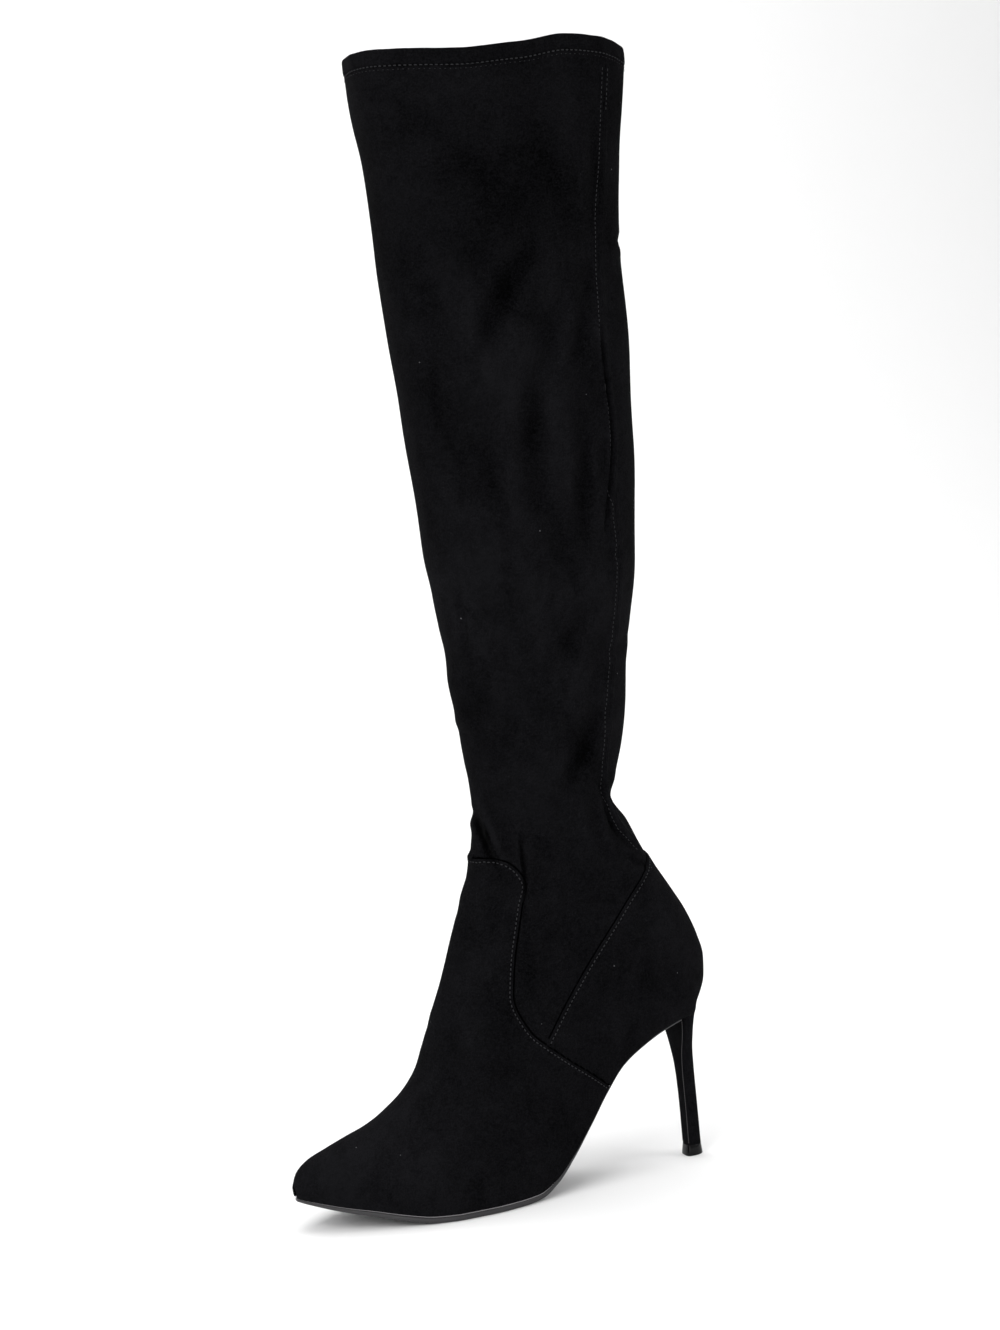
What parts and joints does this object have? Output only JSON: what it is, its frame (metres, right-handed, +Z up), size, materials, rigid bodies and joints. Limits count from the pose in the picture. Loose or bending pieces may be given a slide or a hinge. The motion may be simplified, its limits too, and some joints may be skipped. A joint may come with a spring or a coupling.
{
  "type": "thigh high boot",
  "caption": "Pull-on thigh high boot for the left foot, with a slack stretch shaft, a pointed toe, a tongued vamp and a slim high stiletto heel.",
  "frame": {"origin": "middle of the heel tip's ground face", "axes": "+X to the toe, +Y to the outer side of the foot, +Z up"},
  "size_m": [0.2478, 0.085, 0.6169],
  "materials": {
    "stretch_suede": "matt napped stretch suede",
    "suede": "matt napped suede",
    "sock": "smooth lining leather",
    "sole": "satin",
    "lift": "glossy"
  },
  "bodies": {
    "root": {"upper": "stretch_suede", "vamp": "suede", "counter": "suede", "insole": "sock", "outsole": "sole", "heel": "suede", "top_lift": "lift"}
  },
  "joints": []
}
